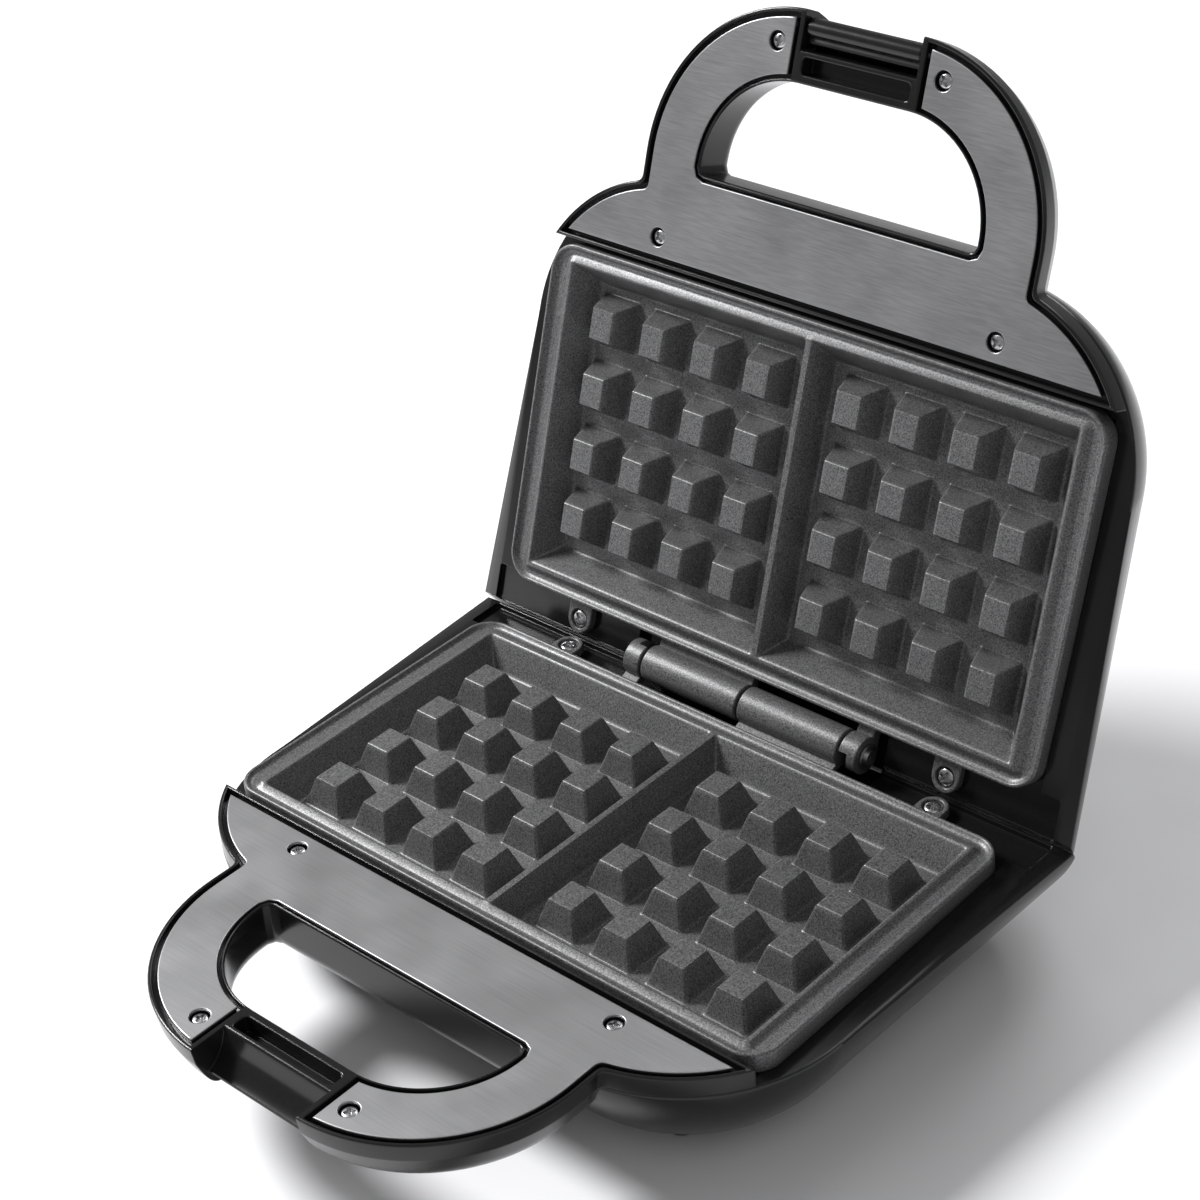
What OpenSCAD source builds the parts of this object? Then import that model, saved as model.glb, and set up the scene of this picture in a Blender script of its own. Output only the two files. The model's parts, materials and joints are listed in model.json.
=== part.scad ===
/* [Body] */
// Width across the rims of the two shells
body_w = 241; // [230:1:250]
// Distance from the hinge axis to the front of the body
body_front = 162.7; // [160:0.1:165]
// Distance from the hinge axis to the rear wall
body_rear = 14; // [12:0.5:15]
// Depth of each shell below the parting plane
half_h = 42; // [42:0.5:46]
// Radius of the front shoulders in plan
shoulder_r = 57.7; // [54:0.1:60]
// Radius of the rear corners in plan
rear_r = 8; // [6:0.5:12]
// How much wider the rims are at the rear than at the shoulders, on each side
flare = 6; // [4:0.5:7]
// How much higher the rims are at the rear
rim_rise = 2; // [1:0.1:2.5]
// Depth of the side rims below the parting plane
rim_drop = 7; // [6.8:0.1:8]
// Wall thickness of the shells
wall = 2.4; // [2:0.1:2.6]
// Distance from the hinge axis to the rear edge of the front deck
deck_edge = 134.4; // [134:0.1:136]

/* [Handle] */
// Distance from the hinge axis to the front of the handle
reach = 227.5; // [226:0.1:229]
// Outer radius of the handle loop
loop_r = 56.5; // [56:0.1:57]
// Half the straight front run of the handle loop
loop_flat = 21.5; // [21:0.1:22]
// Radius of the finger hole
finger_r = 33.3; // [30:0.1:34]
// Distance from the hinge axis to the straight side of the finger hole
finger_back = 167.7; // [167:0.1:169]
// Depth of each half of the handle
handle_h = 18; // [17:0.5:20]
// Half the width of the latch notch
notch_half = 22.5; // [22:0.1:23]

/* [Trim plates] */
// Thickness of the brushed trim plate
trim_t = 1; // [0.8:0.1:1.2]
// Width of the shell's edge line around the trim
edge_line = 1.3; // [1:0.1:1.5]
// Width of the groove between the edge line and the trim
groove_w = 1.7; // [1.4:0.1:2]
// Half the gap between the trim's ends at the notch
trim_gap_half = 26; // [25.5:0.1:27]

/* [Waffle plates] */
// Width of a waffle plate
plate_w = 224; // [220:0.5:226]
// Distance from the hinge axis to the front edge of a plate
plate_front = 132.7; // [132:0.1:133]
// Distance from the hinge axis to the rear edge of a plate
plate_rear = 10; // [9.5:0.1:10.5]
// Depth of the plate's pan
pan_h = 13.5; // [13:0.1:14]
// Depth of the waffle cavities
cavity_h = 10.6; // [9:0.1:11]
// Spacing of the studs across the plate
pitch_x = 22.5; // [22:0.1:23]
// Spacing of the studs from front to rear
pitch_y = 23.5; // [23:0.1:24]
// Studs along each side of a cavity
studs = 4; // [4:1:4]

/* [Hinge] */
// Height of the hinge axis above the parting plane
axis_h = 1.4; // [1:0.1:1.6]
// Radius of the hinge barrels
barrel_r = 6.5; // [6:0.1:6.6]
// Radius of the hinge pin
pin_r = 2.5; // [2:0.1:3]
// How far the lid stands open
open_angle = 108.7; // [104:0.1:109]

/* [Latch] */
// Distance from the hinge axis to the latch pivot
latch_y = 221.8; // [221.6:0.1:222]
// Depth of the latch pivot below the lid's parting face
latch_z = 4.2; // [4:0.1:4.4]
// Angle from the resting clip to the latched one
latch_fold = 200; // [198:1:202]

/* [Feet] */
// Height of the feet
foot_h = 4; // [3:0.5:6]
// Radius of the feet
foot_r = 6.5; // [5:0.5:7]

/* [Hidden] */

$fn = 64;
gap = 0.25;
run_fit = 0.05;
slice = 0.02;
big = 400;
plastic = [0.05, 0.05, 0.05];
coated = [0.22, 0.22, 0.23];
steel = [0.75, 0.75, 0.77];

// Rounded side of a shell, as sets of inset, depth and share of the rear flare
profile = [
    [0, rim_drop, 1], [1.5, half_h / 3, 0.85], [4.3, half_h / 2, 0.6],
    [10.8, half_h - 11, 0.2], [18, half_h - 4, 0], [27, half_h, 0]
];
// Rounded underside of the handle, as pairs of inset and height above its lowest level
handle_profile = [[8.5, 0], [5, 2], [3.2, 5.5], [0, handle_h - gap]];
rear_steepness = 0.45;
shoulder_x = body_w / 2 - shoulder_r;
shoulder_y = -(body_front - shoulder_r);
loop_y = -(reach - loop_r);
deck_floor = -trim_t - 0.4;
trim_inset = edge_line + groove_w;
slope_clearance = 0.35;
loop_hollow = 12.5;
rear_deck_half = body_w / 2 - 0.5;
rear_deck_end = 3;
rim_top = -rim_drop + slice;

// Latched clip: its arm and hook, measured from the pivot
arm_in = 3.2;
arm_out = 5;
hook_reach = 1.5;
hook_start = 17.4;
hook_end = 19.2;

// Feet stand on z = 0, and the open object is centred over the origin, from the handle to the clip's tip
part_z = half_h + foot_h;
tip_y = -latch_y + hook_reach * cos(latch_fold) - hook_end * sin(latch_fold);
tip_z = -latch_z + hook_reach * sin(latch_fold) + hook_end * cos(latch_fold);
back_tip = tip_y * cos(open_angle) - (tip_z + axis_h) * sin(open_angle);
hinge_y = (reach - back_tip) / 2;

trim_screw_spots = [[67.6, -143.7], [32, -215.8]];
plate_screw_spot = [78.8, -3.2];
foot_front = [77, -128];
foot_rear = [82, -5];
clamp_x = [-52, 46];
heater_y = -74;
heater_r = 3.3;
heater_bend = 32;
heater_reach = 58;
heater_z = -(pan_h + heater_r);
clamp_t = 1.2;
clamp_z = heater_z - heater_r - clamp_t;
reflector_z = -25;
grommet = [-70, -24];
lens_r = 4;
lens_spots = [-11, 11];
lens_y = -112;
lead_x = -95;

stud_mid_x = 7.4 + pitch_x * studs / 2;
rib_half = 1.1;
wall_flare = 13;
pocket_shift = [-1.4, 1];
stud_front = -120;
knuckle_in = 43;
knuckle_out = 50;
barrel_out = 42;
trough_half = 53.5;
trough_h = 10.6;
barrel_in = 0.6;

clip_half = notch_half - 0.6;
lip_edge = [-222.5, -11.3];
notch_back = -214.7;
pocket = [-212.8, -207.2];
notch_ring_h = 7.9;

// Places a base half, drawn with the hinge at y = 0 and the parting plane at z = 0
module in_base() {
    translate([0, hinge_y, part_z]) children();
}

// Places a lid half: the same drawing, mirrored and swung open about the hinge
module in_lid() {
    translate([0, hinge_y, part_z + axis_h]) rotate([-open_angle, 0, 0])
        translate([0, 0, -axis_h]) mirror([0, 0, 1]) children();
}

module both_sides() {
    for (flip = [0, 1]) mirror([flip, 0, 0]) children();
}

module slab(x0, x1, y0, y1, z0, z1) {
    translate([x0, y0, z0]) cube([x1 - x0, y1 - y0, z1 - z0]);
}

// Corner posts whose hull is one level of a shell
module posts(inset, depth, share) {
    rr = max(rear_r - inset, 3);
    rear_x = body_w / 2 + flare * share - inset - rr;
    for (side = [-1, 1]) {
        translate([side * shoulder_x, shoulder_y, -depth])
            cylinder(r = shoulder_r - inset, h = slice);
        translate([side * rear_x, body_rear - inset * rear_steepness - rr, -depth + rim_rise * share])
            cylinder(r = rr, h = slice);
    }
}

module bowl(inset, lift) {
    hull() for (level = profile) posts(level[0] + inset, level[1] - lift, level[2]);
}

// Everything above the plane that halves the angle between the open shells
module rear_slope(offset, axis_z) {
    translate([0, 0, axis_z]) rotate([-open_angle / 2, 0, 0])
        translate([-big / 2, -big / 40, -slope_clearance - offset]) cube([big, big / 4, big / 4]);
}

// Quarter disc for a front right corner, centred on its own corner point
module quarter(x, y, r) {
    translate([x, y]) intersection() {
        circle(r = r);
        translate([0, -r]) square(r);
    }
}

// Plan of the body's front, ahead of the deck's rear edge
module deck_plan(inset) {
    intersection() {
        union() {
            both_sides() quarter(shoulder_x, shoulder_y, shoulder_r - inset);
            translate([-shoulder_x, shoulder_y - shoulder_r + inset])
                square([2 * shoulder_x, shoulder_r - inset]);
        }
        translate([-body_w / 2, -body_front]) square([body_w, body_front - deck_edge - inset]);
    }
}

// Plan of a D-shaped loop that is open towards the body
module loop_plan(r, back) {
    intersection() {
        union() {
            both_sides() quarter(loop_flat, loop_y, r);
            translate([-loop_flat, loop_y - r]) square([2 * loop_flat, r]);
            translate([-loop_flat - r, loop_y]) square([2 * (loop_flat + r), loop_r]);
        }
        translate([-big / 2, -reach]) square([big, reach - back]);
    }
}

module finger_plan(grow) {
    loop_plan(finger_r + grow, finger_back - grow);
}

// Floor of the trough that the hinge barrels turn in, which opens to the rear
module trough(grow) {
    intersection() {
        bowl(1, 0);
        slab(-trough_half - grow, trough_half + grow, -plate_rear - 3.4 - grow, body_rear,
            -trough_h - grow, -rim_drop - 1);
    }
}

// Handle block with tapered sides and a rounded underside, before its finger hole is cut
module handle_block() {
    hull() for (level = handle_profile) translate([0, loop_y, -handle_h + level[1]]) {
        for (side = [-1, 1]) translate([side * loop_flat, 0, 0]) cylinder(r = loop_r - level[0], h = slice);
        translate([-loop_flat - loop_r + level[0], 0, 0])
            cube([2 * (loop_flat + loop_r - level[0]), -loop_y - deck_edge - 6, slice]);
    }
}

// Body with its rounded sides, deck and handle loop; axis_z is the hinge's height in this half
module shell_blank(axis_z) {
    difference() {
        union() {
            bowl(0, 0);
            translate([0, 0, -rim_drop]) linear_extrude(rim_drop - gap) deck_plan(0);
            handle_block();
        }
        rear_slope(0, axis_z);
        difference() {
            bowl(wall, wall);
            slab(-big / 2, big / 2, -big / 2, big / 2, -rim_drop - wall, 1);
            rear_slope(wall, axis_z);
            trough(wall);
            slab(-60, 60, -finger_back - 1, -finger_back + 7.4, -handle_h - 1, 0);
        }
        // Hollow under the deck and inside the loop
        translate([0, 0, -rim_drop - wall - 0.5]) linear_extrude(rim_drop + wall + 0.5 + deck_floor - 1.8)
            deck_plan(wall);
        difference() {
            translate([0, 0, -loop_hollow]) linear_extrude(loop_hollow + deck_floor - 1.8)
                difference() {
                    loop_plan(loop_r - wall - 3.2, 155);
                    finger_plan(wall);
                }
            slab(-notch_half - 7, notch_half + 7, -reach, -200, -handle_h, 0);
        }
        // Sunk deck behind the plate
        slab(-rear_deck_half, rear_deck_half, -plate_rear - 0.5, rear_deck_end, -rim_drop, 1);
        slab(-trough_half, trough_half, -plate_rear - 3.4, body_rear + 1, -trough_h, 1);
        translate([0, 0, -handle_h - 1]) linear_extrude(handle_h + 2) finger_plan(0);
        // Opening for the waffle plate's pan
        slab(-plate_w / 2 + 2.4, plate_w / 2 - 2.4, -plate_front + 2.1, -plate_rear - 3.4, -2 * rim_drop, 1);
        slab(-plate_w / 2 - 0.3, plate_w / 2 + 0.3, -deck_edge - 0.01, -plate_rear, -rim_drop, 1);
        // Recess for the trim plate and its groove
        translate([0, 0, deck_floor]) linear_extrude(2) trim_plan(groove_w, groove_w);
    }
}

// Plan of the trim plate, grown by the groove where the recess is cut
module trim_plan(grow, notch_grow) {
    difference() {
        union() {
            deck_plan(trim_inset - grow);
            loop_plan(loop_r - trim_inset + grow, deck_edge + 6);
        }
        finger_plan(groove_w + 0.5 - grow * 0.75);
        translate([-trim_gap_half + notch_grow, -reach - 1])
            square([2 * (trim_gap_half - notch_grow), 30]);
    }
}

module screw_boss(spot, top, bottom, r, bore) {
    translate([spot[0], spot[1], bottom]) difference() {
        cylinder(r = r, h = top - bottom);
        translate([0, 0, -1]) cylinder(r = bore, h = top - bottom + 2);
    }
}

// Shell shared by the base and the lid
module shell_half(axis_z) {
    difference() {
        union() {
            shell_blank(axis_z);
            both_sides() {
                screw_boss(trim_screw_spots[0], deck_floor - 1, -14, 3.6, 1.45);
                screw_boss(trim_screw_spots[1], deck_floor - 1, -14, 3.6, 1.45);
                screw_boss(plate_screw_spot, -rim_drop - 1, -20, 4, 1.85);
            }
        }
        both_sides() {
            for (spot = trim_screw_spots) translate([spot[0], spot[1], -13]) cylinder(r = 1.45, h = 14);
            for (spot = trim_screw_spots) translate([spot[0], spot[1], deck_floor - 1.6])
                cylinder(r = 3.2, h = 4);
            translate([plate_screw_spot[0], plate_screw_spot[1], -19]) cylinder(r = 1.85, h = 20);
        }
        // Narrow pocket beside the rib
        slab(-notch_half + 1.6, notch_half - 1.6, pocket[0], pocket[1], -6.2, 1);
    }
}

module base_shell() {
    color(plastic) in_base() difference() {
        union() {
            shell_half(axis_h);
            both_sides() screw_boss(foot_front, -half_h + 9, -half_h + 1, 4, 1.5);
            both_sides() screw_boss(foot_rear, -half_h + 9, -half_h + 1, 4, 1.5);
        }
        both_sides() for (spot = [foot_front, foot_rear])
            translate([spot[0], spot[1], -half_h - 1]) cylinder(r = 1.5, h = 9);
        // Latch seat: it falls from the rib to a thin lip
        translate([-notch_half, 0, 0]) rotate([90, 0, 90]) linear_extrude(2 * notch_half) polygon([
            [notch_back, 1], [notch_back, -1.9], [notch_back - 3.2, -8], lip_edge,
            [lip_edge[0], lip_edge[1] - 1.5], [lip_edge[0] + 8, lip_edge[1] - 1.5],
            [lip_edge[0] + 10, -handle_h - 1], [-reach - 1, -handle_h - 1], [-reach - 1, 1]
        ]);
        // Cord opening in the rear wall
        translate([grommet[0], body_rear + 6, grommet[1]]) rotate([90, 0, 0]) cylinder(r = 6, h = 30);
    }
}

module lid_shell() {
    color(plastic) in_lid() difference() {
        shell_half(-axis_h);
        // Open notch for the latch clip, and room behind the rib for its arm
        slab(-notch_half, notch_half, -reach - 1, notch_back, -handle_h - 1, 1);
        slab(-notch_half, notch_half, notch_back - 1, -200, -handle_h - 1, -notch_ring_h);
        translate([-notch_half - 4, -latch_y, -latch_z]) rotate([0, 90, 0])
            cylinder(r = 1.25 + run_fit, h = 2 * notch_half + 8);
        for (x = lens_spots)
            translate([x, lens_y, -half_h - 1]) cylinder(r = lens_r + run_fit, h = wall + 2);
    }
}

module trim_half() {
    difference() {
        translate([0, 0, deck_floor]) linear_extrude(trim_t) trim_plan(0, 0);
        both_sides() for (spot = trim_screw_spots)
            translate([spot[0], spot[1], -5]) cylinder(r = 3.2, h = 6);
    }
}

module base_trim() {
    color(steel) in_base() trim_half();
}

module lid_trim() {
    color(steel) in_lid() trim_half();
}

// Pan-head screw with a cross recess, standing on its head's underside at z = 0
module cross_screw(head_r, head_h, shaft_r, length) {
    difference() {
        union() {
            cylinder(r = head_r, h = head_h);
            translate([0, 0, -length]) cylinder(r = shaft_r, h = length + 0.1);
        }
        for (turn = [0, 90]) rotate([0, 0, turn + 30])
            slab(-head_r * 0.62, head_r * 0.62, -0.45, 0.45, head_h - 0.8, head_h + 1);
    }
}

module trim_screws() {
    both_sides() for (spot = trim_screw_spots)
        translate([spot[0], spot[1], deck_floor - 1.6]) cross_screw(2.6, 1.7, 1.4, 8.5);
}

module base_trim_screws() {
    color(steel) in_base() trim_screws();
}

module lid_trim_screws() {
    color(steel) in_lid() trim_screws();
}

module rounded_rect(half_w, front, rear, r) {
    union() {
        translate([-half_w + r, front]) square([2 * (half_w - r), rear - front]);
        translate([-half_w, front + r]) square([2 * half_w, rear - front - 2 * r]);
        for (x = [-half_w + r, half_w - r]) for (y = [front + r, rear - r])
            translate([x, y]) circle(r = r);
    }
}

// Pyramid stud with a flat top
module stud() {
    base = [15.5, 17.5];
    top = [9.2, 10.4];
    taper = [top[0] / base[0], top[1] / base[1]];
    translate([0, 0, -cavity_h - 0.1]) linear_extrude(cavity_h - 0.6, slices = 1, scale = taper)
        square(base, center = true);
}

// One sunk waffle cavity with sloped walls and its field of studs
module cavity() {
    floor_size = [pitch_x * studs + 1.2, pitch_y * studs + 3];
    widen = [1 + wall_flare / floor_size[0], 1 + wall_flare / floor_size[1]];
    difference() {
        translate([pocket_shift[0], pocket_shift[1], -cavity_h]) intersection() {
            linear_extrude(cavity_h + 1, slices = 1, scale = widen) square(floor_size, center = true);
            slab(rib_half - stud_mid_x - pocket_shift[0], plate_w, -plate_front, plate_front,
                -1, cavity_h + 2);
        }
        for (i = [0 : studs - 1]) for (j = [0 : studs - 1])
            translate([(i - (studs - 1) / 2) * pitch_x, (j - (studs - 1) / 2) * pitch_y, 0]) stud();
    }
}

// Barrel along X round the hinge axis, with its web to the plate's rear edge
module knuckle(x0, x1, axis_z) {
    translate([x0, 0, axis_z]) rotate([0, 90, 0]) cylinder(r = barrel_r, h = x1 - x0);
    slab(x0, x1, -plate_rear - 2, -3.5, -barrel_r + axis_z + 0.6, min(axis_z, 0) - 0.9);
}

// Plate with its barrel on the side named by long_side; axis_z is the hinge's height in this half
module plate_half(long_side, axis_z) {
    difference() {
        union() {
            translate([0, 0, rim_top]) linear_extrude(-rim_top - gap)
                rounded_rect(plate_w / 2, -plate_front, -plate_rear, 10);
            translate([0, 0, -pan_h]) linear_extrude(pan_h - 1)
                rounded_rect(plate_w / 2 - 3.5, -plate_front + 3.5, -plate_rear - 4.5, 8);
            scale([long_side, 1, 1]) {
                knuckle(barrel_in, barrel_out, axis_z);
                knuckle(-knuckle_out, -knuckle_in, axis_z);
            }
            both_sides() {
                translate([plate_screw_spot[0], plate_screw_spot[1], rim_top]) cylinder(r = 5.2, h = 3.4);
                slab(plate_screw_spot[0] - 5.2, plate_screw_spot[0] + 5.2, -plate_rear - 2,
                    plate_screw_spot[1], rim_top, rim_top + 3.4);
            }
        }
        both_sides() translate([stud_mid_x, stud_front + pitch_y * studs / 2, 0]) cavity();
        // Groove between the rim's bead and its inner land
        translate([0, 0, -1.3]) linear_extrude(2) difference() {
            rounded_rect(plate_w / 2 - 2.6, -plate_front + 2.6, -plate_rear - 2.6, 8);
            rounded_rect(plate_w / 2 - 4, -plate_front + 4, -plate_rear - 4, 7);
        }
        translate([-knuckle_out - 1, 0, axis_z]) rotate([0, 90, 0])
            cylinder(r = pin_r + run_fit, h = 2 * knuckle_out + 2);
        // Slot that opens one end knuckle
        scale([long_side, 1, 1])
            slab(-knuckle_out + 3.4, -knuckle_in + 0.1, -0.8, barrel_r + 1,
                axis_z + 0.6, axis_z + barrel_r + 1);
        both_sides() translate([plate_screw_spot[0], plate_screw_spot[1], -rim_drop]) {
            translate([0, 0, -1]) cylinder(r = 1.95, h = 5);
            translate([0, 0, 1.8]) cylinder(r = 3.6, h = 5);
        }
        for (x = clamp_x) translate([x, heater_y, -pan_h - 1]) cylinder(r = 1.55, h = 3);
    }
}

module lower_waffle_plate() {
    color(coated) in_base() plate_half(1, axis_h);
}

module upper_waffle_plate() {
    color(coated) in_lid() plate_half(-1, -axis_h);
}

module plate_screws() {
    both_sides() translate([plate_screw_spot[0], plate_screw_spot[1], -rim_drop + 1.8])
        cross_screw(3, 1.5, 1.8, 12);
}

module lower_plate_screws() {
    color(steel) in_base() plate_screws();
}

module upper_plate_screws() {
    color(steel) in_lid() plate_screws();
}

// Tube heater bent to a U, with a thinner terminal rod in each end
module heater_half() {
    translate([heater_reach, heater_y, heater_z]) rotate([0, 0, -90]) rotate_extrude(angle = 180)
        translate([heater_bend, 0]) circle(r = heater_r);
    for (side = [-1, 1]) translate([-86, heater_y + side * heater_bend, heater_z]) rotate([0, 90, 0]) {
        cylinder(r = heater_r, h = 86 + heater_reach);
        translate([0, 0, -12]) cylinder(r = 1.2, h = 14);
    }
}

module lower_heating_element() {
    color("dimgray") in_base() heater_half();
}

module upper_heating_element() {
    color("dimgray") in_lid() heater_half();
}

module clamps_half() {
    for (x = clamp_x) difference() {
        slab(x - 7, x + 7, heater_y - heater_bend - 5, heater_y + heater_bend + 5,
            clamp_z, clamp_z + clamp_t);
        translate([x, heater_y, clamp_z - 1]) cylinder(r = 1.6, h = 4);
    }
}

module lower_element_clamps() {
    color(steel) in_base() clamps_half();
}

module upper_element_clamps() {
    color(steel) in_lid() clamps_half();
}

module clamp_screws_half() {
    for (x = clamp_x) translate([x, heater_y, clamp_z]) mirror([0, 0, 1])
        cross_screw(3, 1.4, 1.5, clamp_t + 2 * heater_r + 1.8);
}

module lower_clamp_screws() {
    color(steel) in_base() clamp_screws_half();
}

module upper_clamp_screws() {
    color(steel) in_lid() clamp_screws_half();
}

// Sheet tray that turns the heat back towards the plate
module reflector_half() {
    difference() {
        slab(-98, 98, -124, -24, reflector_z - 0.8, reflector_z + 5);
        slab(-97.2, 97.2, -123.2, -24.8, reflector_z, reflector_z + 6);
    }
}

module lower_reflector() {
    color(steel) in_base() reflector_half();
}

module upper_reflector() {
    color(steel) in_lid() reflector_half();
}

// Snap-disc thermostat against the underside of the lower plate
module lower_thermostat() {
    color("tan") in_base() translate([0, heater_y, -pan_h - 6.6]) {
        cylinder(r = 8, h = 6.6);
        for (side = [-1, 1]) slab(side * 5 - 1.5, side * 5 + 1.5, -0.4, 0.4, -2.4, 0.1);
    }
}

module thermal_fuse() {
    color("white") in_lid() translate([-7, heater_y, -pan_h - 2.2]) rotate([0, 90, 0]) {
        cylinder(r = 2.1, h = 14);
        translate([0, 0, -5]) cylinder(r = 0.5, h = 24);
    }
}

module terminal_block() {
    color("ivory") in_base() difference() {
        slab(-30, 0, -16, -4, -half_h + wall + 0.4, -half_h + wall + 10.4);
        for (x = [-25, -15, -5]) translate([x, -10, -half_h + wall + 4]) cylinder(r = 2.4, h = 8);
    }
}

// Insulated leads that run along the shell from the terminal block to the heater
module leads_half() {
    for (lead = [0, 1]) {
        y = -13 - lead * 4;
        translate([lead_x, y, -33]) rotate([0, 90, 0]) cylinder(r = 1.3, h = 62);
        translate([lead_x, y, -33]) sphere(r = 1.3);
        translate([lead_x, y, -33]) rotate([90, 0, 0]) cylinder(r = 1.3, h = 26 + lead * 64 - lead * 4);
    }
}

module base_leads() {
    color("firebrick") in_base() leads_half();
}

module lid_leads() {
    color("firebrick") in_lid() leads_half();
}

// Grommet that lines the cord opening
module cord_grommet() {
    color(plastic) in_base() translate([grommet[0], body_rear - 10, grommet[1]]) rotate([-90, 0, 0])
        difference() {
            union() {
                cylinder(r = 6 - run_fit, h = 10);
                cylinder(r = 7.5, h = 2.4);
            }
            translate([0, 0, -1]) cylinder(r = 3.6, h = 12);
        }
}

// Round foot with a well for its screw
module foot() {
    translate([0, 0, -half_h - foot_h]) difference() {
        union() {
            cylinder(r1 = foot_r - 0.8, r2 = foot_r, h = 1);
            translate([0, 0, 1]) cylinder(r = foot_r, h = foot_h - 1);
        }
        translate([0, 0, -1]) cylinder(r = 3.4, h = 2.8);
        cylinder(r = 1.6, h = foot_h + 1);
    }
}

module front_feet() {
    color(plastic) in_base() both_sides() translate([foot_front[0], foot_front[1], 0]) foot();
}

module rear_feet() {
    color(plastic) in_base() both_sides() translate([foot_rear[0], foot_rear[1], 0]) foot();
}

module foot_screws() {
    color(steel) in_base() both_sides() for (spot = [foot_front, foot_rear])
        translate([spot[0], spot[1], -half_h - foot_h + 1.8]) mirror([0, 0, 1])
            cross_screw(2.9, 1.4, 1.4, 9);
}

module hinge_pin() {
    color(steel) in_base() translate([-knuckle_out - 2, 0, axis_h]) rotate([0, 90, 0])
        cylinder(r = pin_r, h = 2 * knuckle_out + 4);
}

module hinge_pin_clips() {
    color(steel) in_base() both_sides() translate([knuckle_out + 0.4, 0, axis_h]) rotate([0, 90, 0])
        difference() {
            cylinder(r = pin_r + 1.8, h = 0.8);
            translate([0, 0, -1]) cylinder(r = pin_r + 0.01, h = 3);
        }
}

module lamp_lens(x) {
    in_lid() translate([x, lens_y, -half_h - 1.2]) {
        cylinder(r = lens_r, h = wall + 2.4);
        translate([0, 0, wall + 1.4]) cylinder(r = lens_r + 1, h = 1);
    }
}

module power_lamp_lens() {
    color("red") lamp_lens(lens_spots[0]);
}

module ready_lamp_lens() {
    color("limegreen") lamp_lens(lens_spots[1]);
}

module lamp_holder() {
    color("ivory") in_lid() {
        slab(-18, 18, lens_y - 6, lens_y + 6, -33.4, -31.8);
        for (x = lens_spots) translate([x, lens_y, -37.2]) cylinder(r = 2.2, h = 4);
    }
}

module latch_pin() {
    color(steel) in_lid() translate([-notch_half - 3.6, -latch_y, -latch_z]) rotate([0, 90, 0])
        cylinder(r = 1.25, h = 2 * notch_half + 7.2);
}

// Hooked clip, drawn latched with its arm along +Z and its hook towards +Y, then folded to rest
module latch_clip() {
    color(plastic) in_lid() translate([-clip_half, -latch_y, -latch_z]) rotate([latch_fold, 0, 0])
        rotate([90, 0, 90]) difference() {
            linear_extrude(2 * clip_half) union() {
                circle(r = 3.2);
                translate([-arm_out, 0]) square([arm_out, 2.4]);
                translate([-arm_out, 0]) square([arm_out - arm_in, hook_end]);
                translate([-arm_out, hook_start]) square([arm_out + hook_reach, hook_end - hook_start]);
            }
            translate([0, 0, -1]) cylinder(r = 1.25 + run_fit, h = 2 * clip_half + 2);
        }
}

base_shell();
base_trim();
base_trim_screws();
lower_waffle_plate();
lower_plate_screws();
lower_heating_element();
lower_element_clamps();
lower_clamp_screws();
lower_reflector();
lower_thermostat();
terminal_block();
base_leads();
cord_grommet();
front_feet();
rear_feet();
foot_screws();
hinge_pin();
hinge_pin_clips();
lid_shell();
lid_trim();
lid_trim_screws();
upper_waffle_plate();
upper_plate_screws();
upper_heating_element();
upper_element_clamps();
upper_clamp_screws();
upper_reflector();
thermal_fuse();
power_lamp_lens();
ready_lamp_lens();
lamp_holder();
lid_leads();
latch_pin();
latch_clip();
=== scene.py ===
"""Looks of the waffle maker: smooth shells, brushed trims, cast plates, screws, hinge and latch.

Each half is modelled closed: hinge at y = 0, parting plane at z = 0, material below, handle towards -Y,
in millimetres. The base and lid placements then carry it into the frame, in metres.
"""

import json
import math

import bmesh
import bpy
import numpy as np
from mathutils import Matrix, Vector


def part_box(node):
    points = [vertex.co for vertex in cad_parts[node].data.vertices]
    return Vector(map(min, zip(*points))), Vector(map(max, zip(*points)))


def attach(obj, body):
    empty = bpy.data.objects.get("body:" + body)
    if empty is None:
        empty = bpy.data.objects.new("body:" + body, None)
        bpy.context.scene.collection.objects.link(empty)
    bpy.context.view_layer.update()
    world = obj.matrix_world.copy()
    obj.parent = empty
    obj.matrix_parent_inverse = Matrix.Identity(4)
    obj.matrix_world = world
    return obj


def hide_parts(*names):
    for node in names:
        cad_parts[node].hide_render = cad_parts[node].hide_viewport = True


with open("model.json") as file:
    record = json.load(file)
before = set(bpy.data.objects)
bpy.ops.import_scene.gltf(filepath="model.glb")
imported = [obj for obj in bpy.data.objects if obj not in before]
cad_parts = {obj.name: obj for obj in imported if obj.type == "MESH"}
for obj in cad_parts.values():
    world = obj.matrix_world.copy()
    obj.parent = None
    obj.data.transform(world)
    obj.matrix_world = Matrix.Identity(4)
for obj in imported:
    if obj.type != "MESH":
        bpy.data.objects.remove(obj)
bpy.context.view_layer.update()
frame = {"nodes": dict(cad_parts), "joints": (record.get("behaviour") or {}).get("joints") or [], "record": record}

MM = 1000.0
JOINTS = {joint["name"]: joint for joint in frame["joints"]}
OPEN = math.radians(JOINTS["lid_hinge"]["range_deg"][1])
FOLD = math.radians(JOINTS["latch_pivot"]["range_deg"][1])
AXIS_H = 1.4
HINGE = Vector(JOINTS["lid_hinge"]["pos_m"])

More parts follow.
